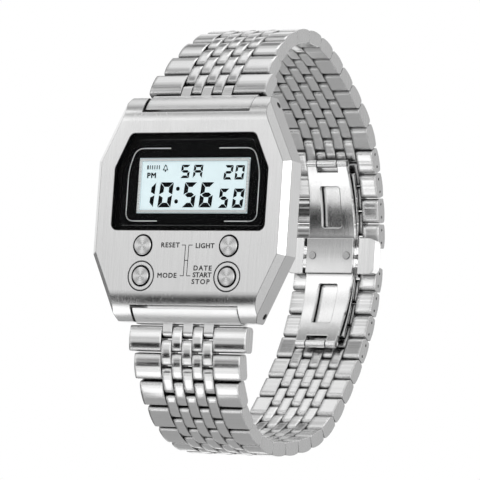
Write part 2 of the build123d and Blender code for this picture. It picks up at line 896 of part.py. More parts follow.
# Long inner blade of the clasp, with windows and notched ends
blade_radius = pin_circle - blade_outer
blade_inner = blade_radius - blade_thickness
eye_places = [on_circle(eye_circle, blade_reach_angle), on_circle(eye_circle, -blade_reach_angle)]
blade_end = eye_places[0][1] + eye_radius
with BuildPart() as clasp_blade:
    with BuildSketch(clasp_view):
        add(sector(blade_radius, blade_inner, -blade_reach_angle, blade_reach_angle))
        with Locations(*eye_places):
            Circle(eye_radius)
    extrude(amount=blade_half_width, both=True)
    with BuildSketch(clasp_view):
        with Locations(*eye_places):
            Circle(clasp_pin_radius + clasp_pin_play)
    extrude(amount=blade_half_width, both=True, mode=Mode.SUBTRACT)
    with BuildSketch(clasp_back(0)):
        Polygon(
            (-blade_end_half_width, blade_end),
            (-blade_half_width, plate_half_height),
            (-blade_half_width, -plate_half_height),
            (-blade_end_half_width, -blade_end),
            (blade_end_half_width, -blade_end),
            (blade_half_width, -plate_half_height),
            (blade_half_width, plate_half_height),
            (blade_end_half_width, blade_end),
            align=None,
        )
        with Locations((0, window_centre), (0, -window_centre)):
            RectangleRounded(window_width, window_height, window_round, mode=Mode.SUBTRACT)
        with Locations((0, blade_end), (0, -blade_end)):
            Rectangle(notch_width, 2 * notch_depth, mode=Mode.SUBTRACT)
        with Locations((-rivet_offset, 0), (rivet_offset, 0)):
            Circle(rivet_shank + clasp_pin_play, mode=Mode.SUBTRACT)
    extrude(amount=pin_circle, mode=Mode.INTERSECT)
save(clasp_blade.part, "clasp_blade")

with BuildPart() as clasp_hinge_pins:
    with BuildSketch(clasp_view):
        with Locations(*eye_places):
            Circle(clasp_pin_radius)
    extrude(amount=blade_end_half_width - clasp_pin_inset, both=True)
save(clasp_hinge_pins.part, "clasp_hinge_pins")

# Centre plate with its rivets
plate_inner = blade_inner - plate_thickness
with BuildPart() as clasp_centre_plate:
    with BuildSketch(clasp_view):
        add(sector(blade_inner, plate_inner, -angle_of(plate_half_height), angle_of(plate_half_height)))
    extrude(amount=blade_half_width, both=True)
    with BuildSketch(clasp_back(0)):
        with Locations((-rivet_offset, 0), (rivet_offset, 0)):
            Circle(rivet_shank + clasp_pin_play)
    extrude(amount=pin_circle, mode=Mode.SUBTRACT)
save(clasp_centre_plate.part, "clasp_centre_plate")

rivet_seat = pin_circle - plate_inner
with BuildPart() as clasp_rivets:
    with BuildSketch(clasp_back(rivet_seat)):
        with Locations((-rivet_offset, 0), (rivet_offset, 0)):
            Circle(rivet_radius)
    extrude(amount=rivet_head)
    with BuildSketch(clasp_back(rivet_seat)):
        with Locations((-rivet_offset, 0), (rivet_offset, 0)):
            Circle(rivet_shank)
    extrude(amount=-(rivet_seat - blade_outer - layer_gap))
save(clasp_rivets.part, "clasp_rivets")

# Latch block between the ends of the bracelet, bored for the two pushers
with BuildPart() as latch_block:
    with BuildSketch(clasp_view):
        add(sector(pin_circle + latch_rise, blade_radius, -angle_of(latch_half_height), angle_of(latch_half_height)))
    extrude(amount=blade_half_width, both=True)
    for side in (-1, 1):
        bore = Plane(
            origin=(side * blade_half_width, clasp_y + pin_circle - pusher_stem_depth, clasp_z),
            x_dir=(0, 1, 0),
            z_dir=(-side, 0, 0),
        )
        with BuildSketch(bore):
            Circle(pusher_stem_radius + running_play)
        extrude(amount=blade_half_width - pusher_bore_end, mode=Mode.SUBTRACT)
save(latch_block.part, "latch_block")


def pusher(side):
    mid = (pusher_start + pusher_end) / 2
    with BuildPart() as shape:
        with BuildSketch(clasp_back(pusher_outer)) as wing:
            with Locations((side * mid, 0)):
                Rectangle(pusher_end - pusher_start, 2 * pusher_half_height)
            outer_corners = wing.vertices().group_by(Axis.X)[-1 if side > 0 else 0]
            fillet(outer_corners, radius=pusher_round)
        extrude(amount=pusher_thickness)
        stem = Plane(
            origin=(side * pusher_stem_end, clasp_y + pin_circle - pusher_stem_depth, clasp_z),
            x_dir=(0, 1, 0),
            z_dir=(side, 0, 0),
        )
        with BuildSketch(stem):
            Circle(pusher_stem_radius)
        extrude(amount=mid - pusher_stem_end)
    return shape.part


def pusher_spring(side):
    start = pusher_bore_end + pusher_spring_wire + pusher_spring_gap
    length = pusher_stem_end - start - pusher_spring_wire - pusher_spring_gap
    base = Plane(
        origin=(side * start, clasp_y + pin_circle - pusher_stem_depth, clasp_z),
        x_dir=(0, 1, 0),
        z_dir=(side, 0, 0),
    )
    with BuildPart() as shape:
        with BuildLine() as coil:
            Helix(
                pitch=length / pusher_spring_turns,
                height=length,
                radius=pusher_spring_radius,
                center=base.origin,
                direction=base.z_dir,
            )
        with BuildSketch(Plane(origin=coil.line @ 0, z_dir=coil.line % 0)):
            Circle(pusher_spring_wire)
        sweep()
    return shape.part


for side, name in ((-1, "left"), (1, "right")):
    save(pusher(side), name + "_pusher")
    save(pusher_spring(side), name + "_pusher_spring")
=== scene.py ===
import bpy
import json
import math
from mathutils import Matrix, Vector


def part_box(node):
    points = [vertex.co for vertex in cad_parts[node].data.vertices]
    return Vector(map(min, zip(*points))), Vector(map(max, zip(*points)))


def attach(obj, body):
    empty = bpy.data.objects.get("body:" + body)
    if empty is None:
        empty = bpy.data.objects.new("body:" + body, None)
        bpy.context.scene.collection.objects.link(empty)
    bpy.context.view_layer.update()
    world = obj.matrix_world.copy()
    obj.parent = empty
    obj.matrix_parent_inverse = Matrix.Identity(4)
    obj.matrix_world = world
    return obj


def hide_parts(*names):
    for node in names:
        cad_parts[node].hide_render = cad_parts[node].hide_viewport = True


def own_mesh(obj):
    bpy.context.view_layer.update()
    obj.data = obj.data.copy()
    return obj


# Lengths on the watch are in millimetres and become metres where meshes are made.
# Lengths in materials, lights and the floor are in metres.
MM = 0.001

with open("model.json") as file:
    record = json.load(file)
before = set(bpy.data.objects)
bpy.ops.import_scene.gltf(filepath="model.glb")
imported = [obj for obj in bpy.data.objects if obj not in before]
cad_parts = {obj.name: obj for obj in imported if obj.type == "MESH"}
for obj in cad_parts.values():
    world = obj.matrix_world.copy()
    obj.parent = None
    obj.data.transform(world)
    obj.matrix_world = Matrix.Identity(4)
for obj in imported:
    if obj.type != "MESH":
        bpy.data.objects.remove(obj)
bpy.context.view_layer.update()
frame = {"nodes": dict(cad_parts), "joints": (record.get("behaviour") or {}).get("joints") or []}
nodes = frame["nodes"]

BUTTONS = ("reset_button", "light_button", "mode_button", "start_button")
RINGED_BUTTONS = ("mode_button", "start_button")

# Places read off the frame
case_low, case_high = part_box("case_body")
face_y = case_low.y / MM
dial_z = (case_low.z + case_high.z) / 2 / MM
lcd_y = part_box("lcd_cell")[0].y / MM
panel_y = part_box("display_panel")[0].y / MM


# Node tree helpers
def new_node(tree, kind, **settings):
    node = tree.nodes.new(kind)
    for name, value in settings.items():
        if name == "inputs":
            for key, given in value.items():
                node.inputs[key].default_value = given
        else:
            setattr(node, name, value)
    return node


def join(tree, source, target):
    tree.links.new(source, target)


def group_tree(name, inputs, outputs):
    tree = bpy.data.node_groups.new(name, "ShaderNodeTree")
    for label, kind, value in inputs:
        socket = tree.interface.new_socket(label, in_out="INPUT", socket_type=kind)
        if value is not None:
            socket.default_value = value
    for label, kind in outputs:
        tree.interface.new_socket(label, in_out="OUTPUT", socket_type=kind)
    return tree, tree.nodes.new("NodeGroupInput"), tree.nodes.new("NodeGroupOutput")


def group_node(tree, group, place=None, **values):
    node = new_node(tree, "ShaderNodeGroup", node_tree=group, inputs=values)
    if place is not None:
        join(tree, place, node.inputs["Vector"])
    return node


def math_node(tree, operation, first, second=None, clamp=False):
    node = new_node(tree, "ShaderNodeMath", operation=operation, use_clamp=clamp)
    for index, given in enumerate((first, second)):
        if given is None:
            continue
        if isinstance(given, (int, float)):
            node.inputs[index].default_value = given
        else:
            join(tree, given, node.inputs[index])
    return node.outputs[0]


def map_range(tree, value, source, target):
    limits = {"From Min": source[0], "From Max": source[1], "To Min": target[0], "To Max": target[1]}
    node = new_node(tree, "ShaderNodeMapRange", inputs=limits)
    join(tree, value, node.inputs["Value"])
    return node.outputs["Result"]


# Noise stays mostly within these values; spread() takes them to the wanted ones
NOISE_RANGE = (0.3, 0.7)


def spread(tree, value, low, high):
    return map_range(tree, value, NOISE_RANGE, (low, high))


def combine_grey(tree, value):
    colour = new_node(tree, "ShaderNodeCombineColor")
    for index in range(3):
        join(tree, value, colour.inputs[index])
    return colour.outputs["Color"]


def combine_tinted(tree, value, tint):
    colour = new_node(tree, "ShaderNodeCombineColor")
    for index, part in enumerate(tint):
        join(tree, math_node(tree, "MULTIPLY", value, part), colour.inputs[index])
    return colour.outputs["Color"]


# Heights of the finest surface marks and of the broad ripple
FINE_HEIGHT = 0.00001
RIPPLE_HEIGHT = 0.0001
RIPPLE_SCALE = 900.0


# Brushing: fine streaks along one axis of the object coordinates, and a broad ripple under them
def make_brushing():
    tree, given, result = group_tree(
        "Brushing",
        [
            ("Vector", "NodeSocketVector", None),
            ("Stretch", "NodeSocketVector", (1.0, 1.0, 0.02)),
            ("Scale", "NodeSocketFloat", 9000.0),
            ("Depth", "NodeSocketFloat", 0.1),
            ("Ripple", "NodeSocketFloat", 0.0),
            ("Normal", "NodeSocketVector", None),
        ],
        [("Value", "NodeSocketFloat"), ("Normal", "NodeSocketVector")],
    )
    stretched = new_node(tree, "ShaderNodeVectorMath", operation="MULTIPLY")
    join(tree, given.outputs["Vector"], stretched.inputs[0])
    join(tree, given.outputs["Stretch"], stretched.inputs[1])
    fine = new_node(tree, "ShaderNodeTexNoise", inputs={"Detail": 3.0, "Roughness": 0.6})
    join(tree, stretched.outputs[0], fine.inputs["Vector"])
    join(tree, given.outputs["Scale"], fine.inputs["Scale"])
    broad = new_node(tree, "ShaderNodeTexNoise", inputs={"Scale": RIPPLE_SCALE, "Detail": 1.0})
    join(tree, stretched.outputs[0], broad.inputs["Vector"])
    waves = new_node(tree, "ShaderNodeBump", inputs={"Distance": RIPPLE_HEIGHT})
    join(tree, given.outputs["Ripple"], waves.inputs["Strength"])
    join(tree, broad.outputs["Fac"], waves.inputs["Height"])
    join(tree, given.outputs["Normal"], waves.inputs["Normal"])
    bump = new_node(tree, "ShaderNodeBump", inputs={"Distance": FINE_HEIGHT})
    join(tree, given.outputs["Depth"], bump.inputs["Strength"])
    join(tree, fine.outputs["Fac"], bump.inputs["Height"])
    join(tree, waves.outputs["Normal"], bump.inputs["Normal"])
    join(tree, fine.outputs["Fac"], result.inputs["Value"])
    join(tree, bump.outputs["Normal"], result.inputs["Normal"])
    return tree


# Edges: a rounded normal at sharp edges and a mask of the edges
def make_edges():
    tree, given, result = group_tree(
        "Edges",
        [("Radius", "NodeSocketFloat", 0.0001), ("Gain", "NodeSocketFloat", 3.0)],
        [("Mask", "NodeSocketFloat"), ("Normal", "NodeSocketVector")],
    )
    bevel = new_node(tree, "ShaderNodeBevel", samples=6)
    join(tree, given.outputs["Radius"], bevel.inputs["Radius"])
    plain = new_node(tree, "ShaderNodeNewGeometry")
    dot = new_node(tree, "ShaderNodeVectorMath", operation="DOT_PRODUCT")
    join(tree, bevel.outputs["Normal"], dot.inputs[0])
    join(tree, plain.outputs["Normal"], dot.inputs[1])
    away = math_node(tree, "SUBTRACT", 1.0, dot.outputs["Value"])
    mask = math_node(tree, "MULTIPLY", away, given.outputs["Gain"], clamp=True)
    join(tree, mask, result.inputs["Mask"])
    join(tree, bevel.outputs["Normal"], result.inputs["Normal"])
    return tree


# Wear: soft blotches and fine grain that vary the roughness
def make_wear():
    tree, given, result = group_tree(
        "Wear",
        [
            ("Vector", "NodeSocketVector", None),
            ("Scale", "NodeSocketFloat", 300.0),
            ("Grain", "NodeSocketFloat", 4000.0),
        ],
        [("Blotches", "NodeSocketFloat"), ("Grain", "NodeSocketFloat")],
    )
    for label, size, detail in (("Blotches", "Scale", 2.0), ("Grain", "Grain", 1.0)):
        noise = new_node(tree, "ShaderNodeTexNoise", inputs={"Detail": detail, "Roughness": 0.5})
        join(tree, given.outputs["Vector"], noise.inputs["Vector"])
        join(tree, given.outputs[size], noise.inputs["Scale"])
        join(tree, noise.outputs["Fac"], result.inputs[label])
    return tree


# Painted shade in crevices: the colour darkens close to another surface, in gaps and under rims, as an ambient
# occlusion test finds them
PAINTED_SHADE_FALLOFF = 1.6


def make_painted_gap_shade():
    tree, given, result = group_tree(
        "PaintedGapShade",
        [("Reach", "NodeSocketFloat", 0.0012), ("Depth", "NodeSocketFloat", 0.75)],
        [("Shade", "NodeSocketFloat")],
    )
    near = new_node(tree, "ShaderNodeAmbientOcclusion", samples=6)
    join(tree, given.outputs["Reach"], near.inputs["Distance"])
    hidden = math_node(tree, "SUBTRACT", 1.0, math_node(tree, "POWER", near.outputs["AO"], PAINTED_SHADE_FALLOFF))
    taken = math_node(tree, "MULTIPLY", hidden, given.outputs["Depth"])
    join(tree, math_node(tree, "SUBTRACT", 1.0, taken, clamp=True), result.inputs["Shade"])
    return tree


brushing = make_brushing()
edges = make_edges()
wear = make_wear()
painted_gap_shade = make_painted_gap_shade()


def new_material(name):
    material = bpy.data.materials.new(name)
    material.use_nodes = True
    tree = material.node_tree
    place = new_node(tree, "ShaderNodeTexCoord")
    return material, tree, tree.nodes["Principled BSDF"], place.outputs["Object"]


# How far the tone of a metal and of a plastic strays from the given one, and the roughness of a metal drifts
METAL_TONES = (0.93, 1.05)
PLASTIC_TONES = (0.94, 1.06)
ROUGHNESS_DRIFT = 0.02
EDGE_SMOOTHING = 0.5


# Metal: shade is its tone, rough the lowest and highest roughness, stretch the direction of the brushing
def metal(
    name,
    shade,
    rough,
    stretch,
    depth=0.1,
    scale=9000.0,
    ripple=0.0,
    edge=0.00008,
    painted_edge_tone=1.0,
    edge_gain=3.0,
    painted_shade_depth=0.75,
    reach=0.0012,
    tint=(1, 1, 1),
):
    material, tree, shader, place = new_material(name)
    low, high = rough
    corner = group_node(tree, edges, Radius=edge, Gain=edge_gain)
    streaks = group_node(tree, brushing, place, Stretch=stretch, Depth=depth, Scale=scale, Ripple=ripple)
    join(tree, corner.outputs["Normal"], streaks.inputs["Normal"])
    join(tree, streaks.outputs["Normal"], shader.inputs["Normal"])

    blotches = group_node(tree, wear, place)
    drift = spread(tree, blotches.outputs["Blotches"], -ROUGHNESS_DRIFT, ROUGHNESS_DRIFT)
    total = math_node(tree, "ADD", spread(tree, streaks.outputs["Value"], low, high), drift)
    smoother = math_node(tree, "MULTIPLY", corner.outputs["Mask"], -low * EDGE_SMOOTHING)
    join(tree, math_node(tree, "ADD", total, smoother, clamp=True), shader.inputs["Roughness"])

    value = spread(tree, streaks.outputs["Value"], shade * METAL_TONES[0], shade * METAL_TONES[1])
    # Painted edge tone: along edges the tone moves to the given edge tone, a painted highlight where that is
    # lighter and painted shade where it is darker
    painted_edge_mix = new_node(tree, "ShaderNodeMix", data_type="FLOAT")
    join(tree, corner.outputs["Mask"], painted_edge_mix.inputs["Factor"])
    join(tree, value, painted_edge_mix.inputs["A"])
    painted_edge_mix.inputs["B"].default_value = painted_edge_tone
    # Painted shade: the tone darkens in gaps and under rims, as deep as the given depth
    shade_in_gaps = group_node(tree, painted_gap_shade, Reach=reach, Depth=painted_shade_depth)
    shaded = math_node(tree, "MULTIPLY", painted_edge_mix.outputs["Result"], shade_in_gaps.outputs["Shade"])
    join(tree, combine_tinted(tree, shaded, tint), shader.inputs["Base Color"])
    shader.inputs["Metallic"].default_value = 1.0
    return material


# Plastic, rubber, ink and glass of the display: grain of the given depth, and a painted glow that makes the display
# paler though it is no lamp
PLASTIC_EDGE = 0.00005


def plastic(name, colour, rough, depth=0.05, gloss=0.5, painted_glow=0.0):
    material, tree, shader, place = new_material(name)
    blotches = group_node(tree, wear, place)
    corner = group_node(tree, edges, Radius=PLASTIC_EDGE)
    bump = new_node(tree, "ShaderNodeBump", inputs={"Strength": depth, "Distance": FINE_HEIGHT})
    join(tree, blotches.outputs["Grain"], bump.inputs["Height"])
    join(tree, corner.outputs["Normal"], bump.inputs["Normal"])
    join(tree, bump.outputs["Normal"], shader.inputs["Normal"])
    join(tree, spread(tree, blotches.outputs["Grain"], *rough), shader.inputs["Roughness"])
    tone = new_node(tree, "ShaderNodeMix", data_type="RGBA")
    join(tree, blotches.outputs["Blotches"], tone.inputs["Factor"])
    for socket, share in zip(("A", "B"), PLASTIC_TONES):
        tone.inputs[socket].default_value = (*[min(1, part * share) for part in colour], 1)
    join(tree, tone.outputs["Result"], shader.inputs["Base Color"])
    shader.inputs["Specular IOR Level"].default_value = gloss
    shader.inputs["Emission Color"].default_value = (*colour, 1)
    shader.inputs["Emission Strength"].default_value = painted_glow
    return material


# Clear crystal: a fresnel reflection over what lies behind it
def clear_glass(name):
    material, tree, shader, place = new_material(name)
    tree.nodes.remove(shader)
    blotches = group_node(tree, wear, place)
    clear = new_node(tree, "ShaderNodeBsdfTransparent", inputs={"Color": (0.97, 0.98, 0.98, 1)})
    shine = new_node(tree, "ShaderNodeBsdfGlossy")
    join(tree, spread(tree, blotches.outputs["Blotches"], 0.01, 0.04), shine.inputs["Roughness"])
    fresnel = new_node(tree, "ShaderNodeFresnel", inputs={"IOR": 1.1})
    mix = new_node(tree, "ShaderNodeMixShader")
    for index, part in enumerate((fresnel, clear, shine)):
        join(tree, part.outputs[0], mix.inputs[index])
    join(tree, mix.outputs[0], tree.nodes["Material Output"].inputs["Surface"])
    return material


# Turned steel: rings, and a painted radial sheen in the colour about each button's own centre.
# The four centres mirror each other, so one upper and one lower centre on the right give them all.
TURNED_SHADE = 0.8
PAINTED_SHEEN_TONES = (0.72, 1.12)
TURNED_EDGE = 0.00012
SHEEN_FANS = 4.0


def turned(name, upper, lower):
    material, tree, shader, place = new_material(name)
    split = new_node(tree, "ShaderNodeSeparateXYZ")
    join(tree, place, split.inputs[0])
    middle = (upper[1] + lower[1]) / 2 * MM
    half = abs(upper[1] - lower[1]) / 2 * MM
    x = math_node(tree, "SUBTRACT", math_node(tree, "ABSOLUTE", split.outputs["X"]), upper[0] * MM)
    from_middle = math_node(tree, "ABSOLUTE", math_node(tree, "SUBTRACT", split.outputs["Z"], middle))
    z = math_node(tree, "SUBTRACT", from_middle, half)
    squares = [math_node(tree, "MULTIPLY", part, part) for part in (x, z)]
    spot = new_node(tree, "ShaderNodeCombineXYZ")
    join(tree, math_node(tree, "SQRT", math_node(tree, "ADD", *squares)), spot.inputs[0])
    rings = new_node(tree, "ShaderNodeTexNoise", inputs={"Scale": 12000.0, "Detail": 2.0})
    join(tree, spot.outputs[0], rings.inputs["Vector"])

    corner = group_node(tree, edges, Radius=TURNED_EDGE)
    bump = new_node(tree, "ShaderNodeBump", inputs={"Strength": 0.15, "Distance": FINE_HEIGHT})
    join(tree, rings.outputs["Fac"], bump.inputs["Height"])
    join(tree, corner.outputs["Normal"], bump.inputs["Normal"])
    join(tree, bump.outputs["Normal"], shader.inputs["Normal"])

    # Painted sheen: the tone rises and falls in fans about the centre
    angle = math_node(tree, "ARCTAN2", z, x)
    painted_sheen = math_node(tree, "COSINE", math_node(tree, "MULTIPLY", angle, SHEEN_FANS))
    tone = map_range(tree, painted_sheen, (-1.0, 1.0), [TURNED_SHADE * share for share in PAINTED_SHEEN_TONES])
    join(tree, combine_grey(tree, tone), shader.inputs["Base Color"])
    shader.inputs["Metallic"].default_value = 1.0
    join(tree, spread(tree, rings.outputs["Fac"], 0.24, 0.34), shader.inputs["Roughness"])
    return material


def button_centre(name):
    low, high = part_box(name)
    return (low.x + high.x) / 2 / MM, (low.z + high.z) / 2 / MM


light_centre = button_centre("light_button")
start_centre = button_centre("start_button")

along_z = (1.0, 1.0, 0.012)
along_x = (0.012, 1.0, 1.0)

# Painted shade as dark lines along the sharp edges of the case; rounded rows of the bracelet and thin plates of the
# clasp, with painted shade in their gaps
painted_dark_edges = {"edge": 0.00022, "painted_edge_tone": 0.2, "edge_gain": 14.0}
row_edges = {"edge": 0.0008, "painted_shade_depth": 0.92, "reach": 0.0014, "ripple": 0.6}
plate_edges = {"edge": 0.00025, "painted_shade_depth": 0.9, "reach": 0.0008, "ripple": 0.15}

face_steel = metal("face_steel", 0.87, (0.18, 0.28), along_z, depth=0.22, reach=0.0006, **painted_dark_edges)
# Painted shade: the sides of the case are the face's steel in a darker copy
shaded_side_steel = metal("shaded_side_steel", 0.43, (0.26, 0.36), along_z, depth=0.12, scale=14000.0, **painted_dark_edges)
bright_steel = metal("bright_steel", 0.88, (0.10, 0.16), along_z, depth=0.02, **painted_dark_edges)
back_steel = metal("back_steel", 0.72, (0.28, 0.40), along_z)
link_steel = metal(
    "link_steel", 0.88, (0.12, 0.20), along_x, depth=0.12, scale=12000.0, painted_edge_tone=0.92, **row_edges
)
bead_steel = metal("bead_steel", 0.90, (0.10, 0.16), along_x, depth=0.08, painted_edge_tone=0.95, **row_edges)
plate_steel = metal("plate_steel", 0.72, (0.16, 0.24), along_z, depth=0.04, **plate_edges)
clasp_steel = metal("clasp_steel", 0.98, (0.14, 0.22), along_z, depth=0.04, **plate_edges)
satin_steel = metal(
    "satin_steel", 0.95, (0.26, 0.36), along_x, depth=0.12, scale=12000.0, edge=0.0002, painted_shade_depth=0.9, reach=0.0008
)
# Painted shade: the block ends are the links' steel in a darker copy
shaded_end_steel = metal("shaded_end_steel", 0.31, (0.22, 0.32), along_z, depth=0.12, edge=0.00015, painted_shade_depth=0.92, reach=0.0008)
pin_steel = metal("pin_steel", 0.6, (0.3, 0.4), along_x, depth=0.05)
spring_steel = metal("spring_steel", 0.65, (0.2, 0.3), along_x, depth=0.05)
battery_steel = metal("battery_steel", 0.8, (0.12, 0.2), along_x, depth=0.05)
brass = metal("brass_disc", 0.85, (0.25, 0.35), along_x, depth=0.05, tint=(1.0, 0.8, 0.45))
silver = metal("frame_silver", 0.80, (0.25, 0.32), along_x, depth=0.04, painted_shade_depth=0.0)
turned_steel = turned("turned_steel", light_centre, start_centre)
# Painted shade: a darker copy of the steel for the walls of rings and buttons
rim_steel = metal("rim_steel", 0.20, (0.20, 0.30), along_x, depth=0.03, painted_edge_tone=0.3)
line_silver = metal("line_silver", 0.88, (0.3, 0.4), along_x, depth=0.03, painted_shade_depth=0.0)
crystal_glass = clear_glass("crystal_glass")
panel_black = plastic("panel_black", (0.0025, 0.0025, 0.003), (0.25, 0.32), gloss=0.04)
# Painted light: the display glows though no lamp lights it
display_pale = plastic("display_pale", (0.76, 0.87, 0.90), (0.4, 0.5), gloss=0.3, painted_glow=0.52)
light_guide = plastic("light_guide", (0.85, 0.85, 0.82), (0.4, 0.5))
rubber_black = plastic("rubber_black", (0.02, 0.02, 0.02), (0.6, 0.75), depth=0.2)
frame_plastic = plastic("frame_plastic", (0.05, 0.05, 0.055), (0.45, 0.6), depth=0.15)
board_green = plastic("board_green", (0.03, 0.2, 0.09), (0.3, 0.45))
# Black ink of the display digits, also used for the painted shadow at the button rims
ink_and_shadow_black = plastic("ink_and_shadow_black", (0.006, 0.007, 0.009), (0.45, 0.55), gloss=0.05)
ink_grey = plastic("ink_grey", (0.05, 0.05, 0.052), (0.5, 0.6), gloss=0.2)
gasket_black = plastic("gasket_black", (0.003, 0.003, 0.003), (0.6, 0.7), gloss=0.05)
# Painted shade: a black sheet for the wells and for the walls below the face
painted_shade_black = plastic("painted_shade_black", (0.015, 0.015, 0.016), (0.5, 0.6), gloss=0.2)


def dress(node, *materials):
    mesh = nodes[node].data
    mesh.materials.clear()
    for material in materials:
        mesh.materials.append(material)
    return mesh


# Case: brushed face and back, polished bevels, satin sides in a darker copy of the steel as painted shade, and a
# black sheet as painted shade in the wells under the buttons
WELL_REACH = 3.0
WELL_DEPTH = 2.5
WELL_FLOOR = 0.3
WELL_WALL_LEAN = 0.5
BEVEL_LEAN = 0.4
SIDE_LEAN = 0.6
button_centres = [button_centre(name) for name in BUTTONS]


def in_well(place):
    near = min(math.hypot(place.x / MM - x, place.z / MM - z) for x, z in button_centres)
    return near < WELL_REACH and place.y / MM < face_y + WELL_DEPTH


for face in dress("case_body", face_steel, bright_steel, shaded_side_steel, painted_shade_black).polygons:
    sideways = abs(face.normal.x)
    below_face = face.center.y / MM > face_y + WELL_FLOOR
    if in_well(face.center) and (abs(face.normal.y) < WELL_WALL_LEAN or below_face):
        face.material_index = 3
    elif sideways > BEVEL_LEAN and face.normal.y < -BEVEL_LEAN:
        face.material_index = 1
    elif sideways > SIDE_LEAN:
        face.material_index = 2
    else:
        face.material_index = 0

# Painted shade: the walls of rings and buttons take a darker copy of the steel, and a black sheet below the face
BUTTON_WALL_LEAN = 0.3
BUTTON_LINE = 0.05
for name in ("button_rings", *BUTTONS):
    top_steel = face_steel if name == "button_rings" else turned_steel
    for face in dress(name, top_steel, painted_shade_black, rim_steel).polygons:
        deep = face.center.y / MM > face_y + BUTTON_LINE
        if abs(face.normal.y) < BUTTON_WALL_LEAN:
            face.material_index = 1 if deep else 2
        else:
            face.material_index = 0

# Bracelet: blocks, brighter beads between them, and block ends in a darker copy of the steel as painted shade
BEAD_LIMIT = 5.56
END_LEAN = 0.7
for name in nodes:
    if "_links_" in name:
        for face in dress(name, link_steel, bead_steel, shaded_end_steel).polygons:
            if abs(face.center.x) < BEAD_LIMIT * MM:
                face.material_index = 1
            elif abs(face.normal.x) > END_LEAN:
                face.material_index = 2
            else:
                face.material_index = 0

# Pieces of one finish
one_finish = {
    back_steel: ["case_back"],
    pin_steel: [
        "case_back_screws",
        "module_screws",
        "upper_spring_bar",
        "lower_spring_bar",
        "clasp_rivets",
        "clasp_hinge_pins",
    ],
    rubber_black: ["back_gasket", "contact_strips", "button_gaskets"],
    crystal_glass: ["crystal"],
    gasket_black: ["crystal_gasket"],
    panel_black: ["display_panel"],
    silver: ["lcd_frame"],
    display_pale: ["lcd_cell"],
    light_guide: ["backlight_plate"],
    frame_plastic: ["module_frame"],
    board_green: ["circuit_board"],
    battery_steel: ["battery"],
    spring_steel: ["battery_strap", *[name for name in nodes if name.endswith("_spring")]],
    brass: ["buzzer_disc"],
    satin_steel: ["upper_end_link", "lower_end_link"],
    clasp_steel: ["upper_arm", "lower_arm", "clasp_blade", "latch_block", "left_pusher", "right_pusher"],
    plate_steel: ["clasp_centre_plate"],
}
for material, names in one_finish.items():
    for name in names:
        dress(name, material)


def add_piece(name, mesh, material):
    mesh.materials.clear()
    mesh.materials.append(material)
    piece = bpy.data.objects.new(name, mesh)
    bpy.context.scene.collection.objects.link(piece)
    return piece


# Springs: a coil along the line of its button or pusher stands for each spring
COIL_STEPS = 18
WIRE_SIDES = 8


def coil_spring(name, joint_name, body, wire, turns):
    joint = next(entry for entry in frame["joints"] if entry["name"] == joint_name)
    along = Vector(joint["axis"])
    across = Vector((0, 0, 1))
    third = along.cross(across)
    low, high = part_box(name)
    middle = (low + high) / 2
    length = abs((high - low).dot(along))
    radius = (high.z - low.z) / 2 - wire * MM
    rise = length - 2 * wire * MM
    steps = COIL_STEPS * turns
    winding = 2 * math.pi * turns
    points = []
    for step in range(steps + 1):
        angle = winding * step / steps
        radial = across * math.cos(angle) + third * math.sin(angle)
        tangent = (third * math.cos(angle) - across * math.sin(angle)) * radius * winding + along * rise
        binormal = tangent.normalized().cross(radial)
        centre = middle + along * (rise * (step / steps - 0.5)) + radial * radius
        for side in range(WIRE_SIDES):
            turn = 2 * math.pi * side / WIRE_SIDES
            points.append(centre + (radial * math.cos(turn) + binormal * math.sin(turn)) * wire * MM)
    faces = [list(range(WIRE_SIDES)), list(range(steps * WIRE_SIDES, (steps + 1) * WIRE_SIDES))[::-1]]
    for start in range(0, steps * WIRE_SIDES, WIRE_SIDES):
        for side in range(WIRE_SIDES):
            after = (side + 1) % WIRE_SIDES
            faces.append([start + side, start + WIRE_SIDES + side, start + WIRE_SIDES + after, start + after])
    mesh = bpy.data.meshes.new(name + "_coil")
    mesh.from_pydata(points, [], faces)
    for face in mesh.polygons[2:]:
        face.use_smooth = True
    coil = add_piece(name + "_coil", mesh, spring_steel)
    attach(coil, body)
    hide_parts(name)
    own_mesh(coil)


for name in ("reset", "light", "mode", "start"):
    coil_spring(name + "_spring", name + "_press", "case", wire=0.11, turns=4)
for name in ("left", "right"):
    coil_spring(name + "_pusher_spring", name + "_push", "clasp_base", wire=0.07, turns=5)


# Flat printed shapes, given as outlines in x and z and set just in front of a face
DISPLAY_INK = 0.015
PANEL_INK = 0.02
FACE_INK = 0.012


def printed(name, outlines, y, material, thickness):
    points = []
    faces = []
    for outline in outlines:
        area = sum(a[0] * b[1] - b[0] * a[1] for a, b in zip(outline, outline[1:] + outline[:1]))
        ring = outline if area > 0 else outline[::-1]
        start = len(points)
        count = len(ring)
        points += [(x * MM, (y - thickness) * MM, z * MM) for x, z in ring]
        points += [(x * MM, y * MM, z * MM) for x, z in ring]
        faces.append(list(range(start, start + count)))
        faces.append(list(range(start + 2 * count - 1, start + count - 1, -1)))
        for index in range(count):
            after = (index + 1) % count
            faces.append([start + index, start + count + index, start + count + after, start + after])
    mesh = bpy.data.meshes.new(name)
    mesh.from_pydata(points, [], faces)
    thing = add_piece(name, mesh, material)
    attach(thing, "case")


# A band of even width along an open path: one quad for each stretch, a little longer than it, so that corners close
OVERLAP = 0.4


